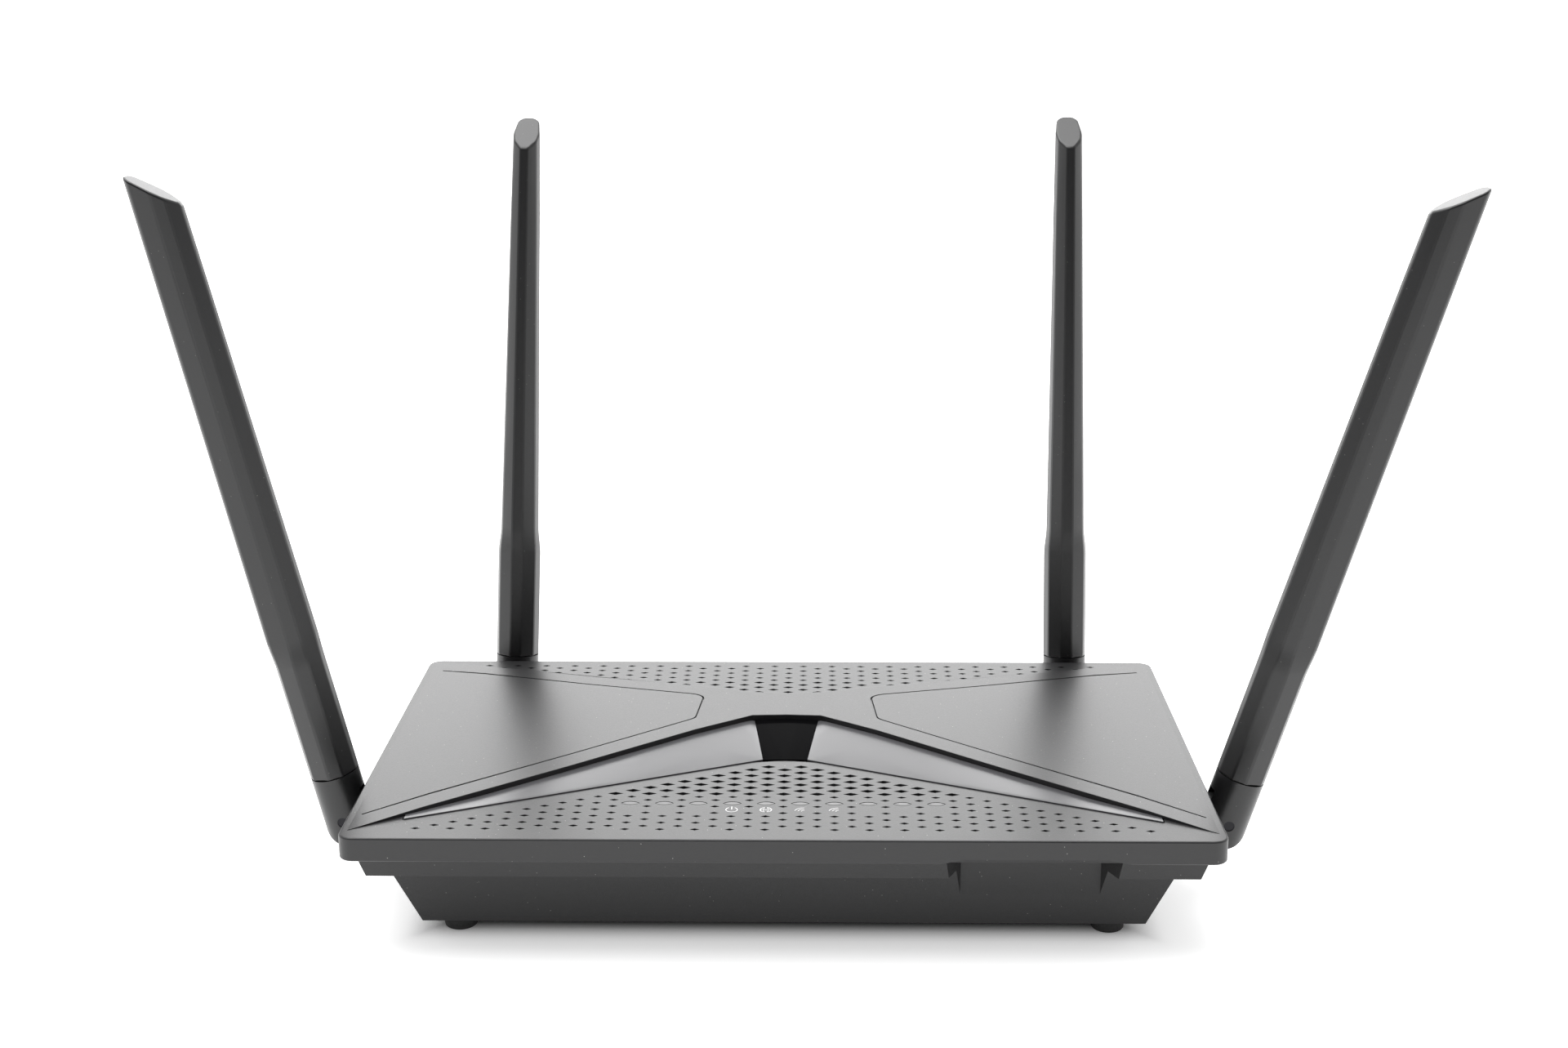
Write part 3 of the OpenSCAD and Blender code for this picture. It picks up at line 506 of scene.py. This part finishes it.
LENS_W, LENS_GAP = 4.4 * MM, 0.14 * MM
GUIDE_LEG, LEG_LOW, LEG_HIGH = 1 * MM, 7.4 * MM, 22.5 * MM
GUIDE_BAR = ((0.3 * MM, 21.9 * MM), (0, 22.2 * MM), (0, 28.0 * MM), (0.3 * MM, 28.3 * MM))


def lens_outline(grow=0.0, steps=10):
    """Outline of the overlap of two circles, long along X."""
    radius, offset = LENS_W * 0.7 + grow, LENS_W * 0.45
    reach = math.acos(offset / radius)
    points = []
    for sign in (1, -1):
        for k in range(steps):
            a = -reach + 2 * reach * k / steps
            points.append((sign * radius * math.sin(a), sign * (radius * math.cos(a) - offset)))
    return points


lens_tool = bmesh.new()
lens_body = bmesh.new()
guide_body = bmesh.new()


def joined_to(body, part):
    """Adds a part's mesh to a body's."""
    carrier = bpy.data.meshes.new("carrier")
    part.to_mesh(carrier)
    part.free()
    body.from_mesh(carrier)
    bpy.data.meshes.remove(carrier)


lens_levels = [(g * MM, lid_top - z * MM) for g, z in ((0, 2.5), (0, 0.2), (-0.08, 0.06), (-0.3, 0))]
for i in range(LEDS):
    cx = (i - (LEDS - 1) / 2) * PITCH
    wide_lens = [(cx + x, led_y + y) for x, y in lens_outline(LENS_GAP)]
    joined_to(lens_tool, prism(wide_lens, lid_top - 3 * MM, lid_top + 1 * MM))
    joined_to(lens_body, lofted([
        [(cx + x, led_y + y, z) for x, y in lens_outline(g)] for g, z in lens_levels
    ]))
    leg = [(cx + GUIDE_LEG * x, led_y + GUIDE_LEG * y) for x, y in ((-1, -1), (1, -1), (1, 1), (-1, 1))]
    joined_to(guide_body, prism(leg, LEG_LOW, LEG_HIGH))
bar_rings = [
    rounded_outline(2 * led_reach + 8 * MM - 2 * g, 4 * MM - 2 * g, 0.6 * MM, z) for g, z in GUIDE_BAR
]
joined_to(guide_body, lofted([[(x, led_y + y, z) for x, y, z in ring] for ring in bar_rings]))
combined(lid, made("lens_tool", lens_tool), "DIFFERENCE")
mounted(shaded(lid), "casing", "lid_plastic", "top_cover")

# Smoked polycarbonate, polished, nearly the lid's tone while unlit
smoked = moulded("smoked_polycarbonate", "#272728", 0.32, 0.8, 0.01, spread=0.03)
mounted(shaded(made("indicator_lenses", lens_body, smoked)), "casing", "clear_plastic", "light_guide")
clear, tree = new_material("clear_acrylic_guide")
place = add_node(tree, "ShaderNodeTexCoord").outputs["Object"]
waves = add_node(tree, "ShaderNodeTexNoise", {"Scale": 300.0}, {"Vector": place})
gloss = add_node(
    tree, "ShaderNodeMapRange", {"To Min": 0.05, "To Max": 0.16}, {"Value": waves.outputs["Fac"]}
)
acrylic = add_node(
    tree, "ShaderNodeBsdfPrincipled",
    {"Base Color": linear("#e4e9ea"), "IOR": 1.49, "Transmission Weight": 0.85},
    {"Roughness": gloss.outputs["Result"]},
)
add_node(tree, "ShaderNodeOutputMaterial", None, {"Surface": acrylic.outputs["BSDF"]})
mounted(shaded(made("light_guide_bar", guide_body, clear)), "casing", "clear_plastic")

ink = moulded("white_pad_print", "#dedede", 0.5, 0.2, 0.01, spread=0.03)
signs = bmesh.new()


def stroke(cx, cy, radius, start, end, width=0.22 * MM, squash=1.0, steps=18):
    """A printed arc, or a straight stroke where the radius is nought and start and end are points."""
    z0, z1 = lid_top + 0.002 * MM, lid_top + 0.03 * MM
    if radius:
        angles = [math.radians(start + (end - start) * k / steps) for k in range(steps + 1)]
        inner, outer = (
            [(cx + squash * r * math.cos(a), cy + r * math.sin(a)) for a in angles]
            for r in (radius - width / 2, radius + width / 2)
        )
    else:
        p, q = Vector(start), Vector(end)
        side = Vector((-(q - p).y, (q - p).x)).normalized() * width / 2
        inner = [(cx + v.x, cy + v.y) for v in (p - side, q - side)]
        outer = [(cx + v.x, cy + v.y) for v in (p + side, q + side)]
    for k in range(len(inner) - 1):
        joined_to(signs, prism([inner[k], outer[k], outer[k + 1], inner[k + 1]], z0, z1))


sign_y = FIRST_ROW + (LED_ROW - 2) * ROW
SIGN_R = 1.55 * MM
stroke(-1.5 * PITCH, sign_y, SIGN_R, 120, 420)
stroke(-1.5 * PITCH, sign_y, 0, (0, 0.2 * MM), (0, 2.1 * MM))
stroke(-0.5 * PITCH, sign_y, SIGN_R, 0, 360)
stroke(-0.5 * PITCH, sign_y, SIGN_R, 0, 360, squash=0.45)
stroke(-0.5 * PITCH, sign_y, 0, (-SIGN_R, 0), (SIGN_R, 0))
for cx in (0.5 * PITCH, 1.5 * PITCH):
    for r in (0.9 * MM, 1.8 * MM, 2.7 * MM):
        stroke(cx + 1.2 * MM, sign_y - 1.2 * MM, r, 92, 165, width=0.2 * MM, steps=10)
mounted(made("printed_signs", signs, ink), "casing", "lid_plastic")


# ---- Trim wings and window ----
# A polished moulding lies in a pocket in front of the bridge: two long grey wings, and a
# black acrylic window between them. Both rise from a small lip towards the bridge's wall.

LIP, WALL = 0.3 * MM, 1.4 * MM
WINDOW_LOW, WINDOW_HIGH = 6.2 * MM, 9.2 * MM


def trim_height(x):
    return max(LIP, curve(bridge_height, x) - WALL)


def trim_ring(x_low, x_high, dip=0.0):
    """Section of the trim from its front lip up to the bridge's wall, with softened edges."""
    low = Vector((x_low, curve(trim_low, x_low)))
    high = Vector((x_high, curve(bridge_front, x_high)))
    span = (high - low).length
    base, lip, crest = lid_top - POCKET_DEPTH, lid_top + LIP, lid_top + trim_height(x_high) - dip

    def point(distance, z):
        p = low.lerp(high, min(1, distance / span))
        return (p.x, p.y, z)

    ring = [point(0, base), point(0, lip - 0.1 * MM), point(0.03 * MM, lip - 0.03 * MM), point(0.1 * MM, lip)]
    for k in range(1, 8):
        t = k / 8
        swell = 0.05 * MM * math.sin(math.pi * t)
        ring.append(point(span * t, lip + (crest - lip) * t + swell * min(1, span / (20 * MM))))
    ring += [point(span - 0.2 * MM, crest), point(span, crest - 0.15 * MM), point(span, base)]
    return ring


wing_bodies = bmesh.new()
for side in (-1, 1):
    stations = [
        (WINDOW_LOW + low * MM, WINDOW_HIGH + high * MM, dip)
        for low, high, dip in ((0.1, 0.1, 0.32), (0.8, 0.8, 0.2), (2.2, 2, 0.05))
    ]
    stations += [(v * MM, v * MM, 0.0) for v in (13, 17, 21, 26, 32, 40, 50, 59.8, 70, 82, 92, 97, 99.6)]
    joined_to(wing_bodies, lofted([
        [(side * x, y, z) for x, y, z in trim_ring(low, high, dip * MM)] for low, high, dip in stations
    ]))
grey_gloss = moulded("polished_abs_wing", "#4c4c4e", 0.28, 1.2, 0.0008, spread=0.02, patchy=0.01)
mounted(shaded(made("trim_wings", wing_bodies, grey_gloss)), "casing", "trim_gloss", "front_trim")

window_rings = []
for k in range(-8, 9):
    t = k / 8
    ring = trim_ring(WINDOW_LOW * t, WINDOW_HIGH * t)
    window_rings.append([(x, y, z - 0.15 * MM * t * t if z > lid_top else z) for x, y, z in ring])
# Black acrylic behind an anti-glare coat: hardly any mirror, so it stays black under the tent
window_black = moulded(
    "black_acrylic_window", "#0a0a0b", 0.14, 1.5, 0.0008, spread=0.02, ior=1.03, patchy=0.01
)
window = shaded(made("trim_window", lofted(window_rings), window_black))
mounted(window, "casing", "window_black", "trim_window")


# ---- Lower casing ----
# The tray under the lid: dark textured ABS with slanting sides, an open bay at the front right,
# the sockets' panel at the back, and blocks that carry the antenna swivels. Edges are softened.

case_abs = moulded("textured_abs_case", "#151516", 0.5, 0.5, 0.04, specks=0.3)


def softened(node, name, width, material, body, slot, segments=2, angle=28):
    """A copy of a CAD node with its sharp edges rounded."""
    body_mesh = bmesh.new()
    body_mesh.from_mesh(frame["nodes"][node].data)
    bmesh.ops.remove_doubles(body_mesh, verts=body_mesh.verts, dist=2e-6)
    bmesh.ops.dissolve_limit(
        body_mesh, angle_limit=math.radians(0.6), verts=body_mesh.verts, edges=body_mesh.edges
    )
    sharp = [e for e in body_mesh.edges if e.is_manifold and e.calc_face_angle(0) > math.radians(angle)]
    bmesh.ops.bevel(
        body_mesh, geom=sharp, offset=width * MM, segments=segments, profile=0.5, affect="EDGES",
        clamp_overlap=True, loop_slide=True,
    )
    return mounted(shaded(made(name, body_mesh, material)), body, slot, node)


softened("bottom_case", "lower_casing", 0.35, case_abs, "casing", "case_plastic")


# ---- Feet ----
# Four moulded rubber studs pressed into shallow pockets, with a soft edge where they stand.

foot_rubber = moulded("moulded_rubber", "#1b1b1b", 0.75, 0.6, 0.05)
softened("rubber_feet", "feet", 0.3, foot_rubber, "casing", "rubber")


# ---- Antennas ----
# Four rods of dark ABS: a fork turns on a pin in the swivelling elbow, a round sleeve stands on
# the fork, and a flat-sided blade tapers from it to a slanted tip.

antenna_abs = moulded("satin_abs_antenna", "#131314", 0.32, 0.5, 0.02, specks=0.2)
SEAM, SHOULDER, BLADE, LENGTH = 13 * MM, 46 * MM, 55 * MM, 185 * MM
SLEEVE_R, SPIGOT_R = 6.75 * MM, 4.6 * MM
TIP_W, TIP_T, TIP_DROP = 12.6 * MM, 8.4 * MM, 10.1 * MM
blade_corners = (
    (-0.5, -0.14), (-0.26, -0.43), (0, -0.5), (0.4, -0.4), (0.5, -0.2),
    (0.5, 0.2), (0.4, 0.4), (0, 0.5), (-0.26, 0.43), (-0.5, 0.14),
)


def blade_section(width, thickness, soft=0.45 * MM, inset=0.0):
    """Rounded corners of the blade's section, counter-clockwise from its inner edge."""
    corners = [Vector((x * width, y * thickness)) for x, y in blade_corners]
    points = []
    for i, p in enumerate(corners):
        before, after = corners[i - 1], corners[(i + 1) % len(corners)]
        for q, t, pull in ((before, 1, 1), (before, 0.35, 0.98), (after, 0.35, 0.98), (after, 1, 1)):
            points.append(p * pull + (q - p).normalized() * soft * t)
    return [p * (1 - inset / max(p.length, 1e-6)) for p in points]


def round_section(radius, like):
    """A circle with as many points as another section, in the same directions."""
    return [p.normalized() * radius for p in like]


def antenna_frame(name):
    """Where an antenna's pin is and how its blade stands, from the joints."""
    joints = {j["name"]: j for j in frame["joints"]}
    tilt, swing = joints[name + "_tilt"], joints[name + "_swing"]
    pin = Vector(tilt["pos_m"])
    out = Vector(swing["axis"])
    if out.dot(pin) < 0:
        out = -out
    across = Vector(tilt["axis"]).normalized()
    up = out.cross(across).normalized()
    turn = Matrix((out, across, up)).transposed().to_4x4()
    return Matrix.Translation(pin) @ turn @ Matrix.Rotation(math.radians(-tilt["range_deg"][0]), 4, "Y")


full, tip = blade_section(13.7 * MM, 12.2 * MM), blade_section(TIP_W, TIP_T)
for name in ("left", "right", "back_left", "back_right"):
    rings = [[(p.x, p.y, z) for p in round_section(r, full)] for r, z in (
        (SPIGOT_R, SEAM + 6 * MM), (SPIGOT_R, SEAM),
        (SLEEVE_R - 0.45 * MM, SEAM), (SLEEVE_R - 0.12 * MM, SEAM + 0.15 * MM), (SLEEVE_R, SEAM + 0.45 * MM),
        (SLEEVE_R, SEAM + 12 * MM), (SLEEVE_R, SHOULDER - 2 * MM), (SLEEVE_R, SHOULDER),
    )]
    for k in range(1, 9):
        t = k / 8
        ease = t * t * (3 - 2 * t)
        z = SHOULDER + (BLADE - SHOULDER) * t
        rings.append([(*c.lerp(b, ease), z) for c, b in zip(round_section(SLEEVE_R, full), full)])
    for k in range(1, 7):
        t = k / 7
        z = BLADE + (LENGTH - TIP_DROP - 6 * MM - BLADE) * t
        share = (z - BLADE) / (LENGTH - BLADE)
        rings.append([(*a.lerp(b, share), z) for a, b in zip(full, tip)])
    for inset, drop in ((0, 0.9), (0.12, 0.35), (0.4, 0.08), (0.8, 0)):
        ring = blade_section(TIP_W, TIP_T, inset=inset * MM)
        rings.append([(p.x, p.y, LENGTH - TIP_DROP * (TIP_W / 2 - p.x) / TIP_W - drop * MM) for p in ring])
    stand = antenna_frame(name)
    rings = [[stand @ Vector(p) for p in ring] for ring in rings]
    antenna, swivel = name + "_antenna", name + "_swivel"
    sleeve = shaded(made(antenna + "_sleeve", lofted(rings), antenna_abs), 50)
    mounted(sleeve, antenna, "antenna_plastic", name + "_sleeve")
    softened(name + "_fork", antenna + "_fork", 0.5, antenna_abs, antenna, "antenna_plastic", 3)
    softened(name + "_elbow", antenna + "_elbow", 0.4, antenna_abs, swivel, "antenna_plastic", 3)


# ---- Sockets and buttons ----
# Black and blue PBT socket blocks with gold spring wires, the power inlet, and push buttons,
# all soldered to the board and seen through the panel at the back.

socket_black = moulded("black_pbt_socket", "#1c1c1e", 0.42, 0.4, 0.02)
socket_blue = moulded("blue_pbt_socket", "#2c4676", 0.42, 0.4, 0.02)
button_abs = moulded("fine_abs_button", "#202022", 0.4, 0.4, 0.02)
softened("lan_sockets", "network_sockets", 0.15, socket_black, "casing", "socket_black")
softened("wan_socket", "line_socket", 0.15, socket_blue, "casing", "socket_blue")
softened("power_jack", "power_inlet", 0.2, socket_black, "casing", "socket_black")
for button, edge in (("power_button", 0.25), ("pairing_button", 0.25), ("reset_plunger", 0.1)):
    softened(button, button + "_cap", edge, button_abs, button, "button_plastic")


# ---- Metal parts ----
# Zinc-plated screws, turned pins, tinned shields, the extruded cooler and gilded spring wires:
# each with the fine marks of how it was made.

def worked_metal(name, colour, roughness, mark_mm, stretch, relief_mm):
    """Bare or plated metal with marks drawn out along one direction."""
    material, tree = new_material(name)
    place = add_node(tree, "ShaderNodeTexCoord").outputs["Object"]
    drawn = add_node(tree, "ShaderNodeMapping", {"Scale": stretch}, {"Vector": place})
    marks = add_node(
        tree, "ShaderNodeTexNoise", {"Scale": 1 / (mark_mm * MM), "Detail": 4.0},
        {"Vector": drawn.outputs["Vector"]},
    )
    gloss = add_node(
        tree, "ShaderNodeMapRange", {"To Min": roughness - 0.08, "To Max": roughness + 0.12},
        {"Value": marks.outputs["Fac"]},
    )
    tone = add_node(
        tree, "ShaderNodeMapRange", {"To Min": 0.9, "To Max": 1.06}, {"Value": marks.outputs["Fac"]}
    )
    base = add_node(
        tree, "ShaderNodeVectorMath", {"operation": "SCALE", 0: linear(colour)[:3]},
        {"Scale": tone.outputs["Result"]},
    )
    relief = add_node(
        tree, "ShaderNodeBump", {"Strength": 0.4, "Distance": relief_mm * MM},
        {"Height": marks.outputs["Fac"]},
    )
    skin = add_node(tree, "ShaderNodeBsdfPrincipled", {"Metallic": 1.0}, {
        "Base Color": base.outputs["Vector"],
        "Roughness": gloss.outputs["Result"],
        "Normal": relief.outputs["Normal"],
    })
    add_node(tree, "ShaderNodeOutputMaterial", None, {"Surface": skin.outputs["BSDF"]})
    return material


def finished(material, *nodes):
    """Gives kept CAD nodes their finish."""
    for node in nodes:
        for place in frame["nodes"][node].material_slots:
            place.material = material


zinc = worked_metal("zinc_plated_steel", "#b9bcc0", 0.35, 0.5, (1, 1, 1), 0.01)
finished(zinc, "case_screws", "board_screws")
blackened = worked_metal("blackened_steel_pin", "#2e2e30", 0.4, 0.3, (1, 0.1, 1), 0.005)
finished(blackened, "left_pin", "right_pin", "back_left_pin", "back_right_pin")
tinned = worked_metal("tinned_steel_shield", "#c9ccce", 0.3, 0.8, (0.1, 1, 1), 0.005)
finished(tinned, "radio_shield_left", "radio_shield_right")
aluminium = worked_metal("extruded_aluminium", "#d3d5d8", 0.4, 0.4, (1, 0.05, 1), 0.01)
finished(aluminium, "heatsink")
gilded = worked_metal("gilded_bronze_wire", "#d9b04a", 0.22, 0.3, (1, 0.1, 1), 0.003)
finished(gilded, "socket_contacts", "lead_plugs")
copper = worked_metal("copper_tube", "#c27a4e", 0.3, 0.4, (1, 1, 0.1), 0.005)
finished(copper, "left_radiator", "right_radiator", "back_left_radiator", "back_right_radiator")


# ---- Circuit board ----
# A green-lacquered board under the lid with epoxy chips, line transformers, sleeved capacitors,
# small white indicators and switches; only parts of it show through the air holes.

lacquer, tree = new_material("green_solder_lacquer")
place = add_node(tree, "ShaderNodeTexCoord").outputs["Object"]
tracks = add_node(tree, "ShaderNodeTexBrick", {
    "Scale": 1 / (12 * MM), "Mortar Size": 0.03, "Brick Width": 0.9, "Row Height": 0.12,
    "Color1": linear("#123b24"), "Color2": linear("#103420"), "Mortar": linear("#1f5a38"),
}, {"Vector": place})
grain = add_node(tree, "ShaderNodeTexNoise", {"Scale": 900.0}, {"Vector": place})
gloss = add_node(tree, "ShaderNodeMapRange", {"To Min": 0.25, "To Max": 0.4}, {"Value": grain.outputs["Fac"]})
relief = add_node(
    tree, "ShaderNodeBump", {"Strength": 0.5, "Distance": 0.03 * MM}, {"Height": tracks.outputs["Fac"]}
)
skin = add_node(tree, "ShaderNodeBsdfPrincipled", {"IOR": 1.5}, {
    "Base Color": tracks.outputs["Color"],
    "Roughness": gloss.outputs["Result"],
    "Normal": relief.outputs["Normal"],
})
add_node(tree, "ShaderNodeOutputMaterial", None, {"Surface": skin.outputs["BSDF"]})
finished(lacquer, "main_board")
epoxy = moulded("black_epoxy_chip", "#202124", 0.55, 0.3, 0.01)
finished(epoxy, "processor", "memory_chip", "flash_chip", "switch_chip", "line_transformers")
finished(moulded("shrink_sleeve", "#37414f", 0.3, 0.8, 0.01), "board_capacitors")
finished(moulded("indicator_resin", "#e9e4cc", 0.3, 0.4, 0.01), "indicator_leds")
finished(moulded("grey_switch_housing", "#c4c4be", 0.45, 0.4, 0.02), "button_switches")
jacket = moulded("coax_jacket", "#17171a", 0.45, 0.5, 0.02)
finished(jacket, "lead_left", "lead_right", "lead_back_left", "lead_back_right")
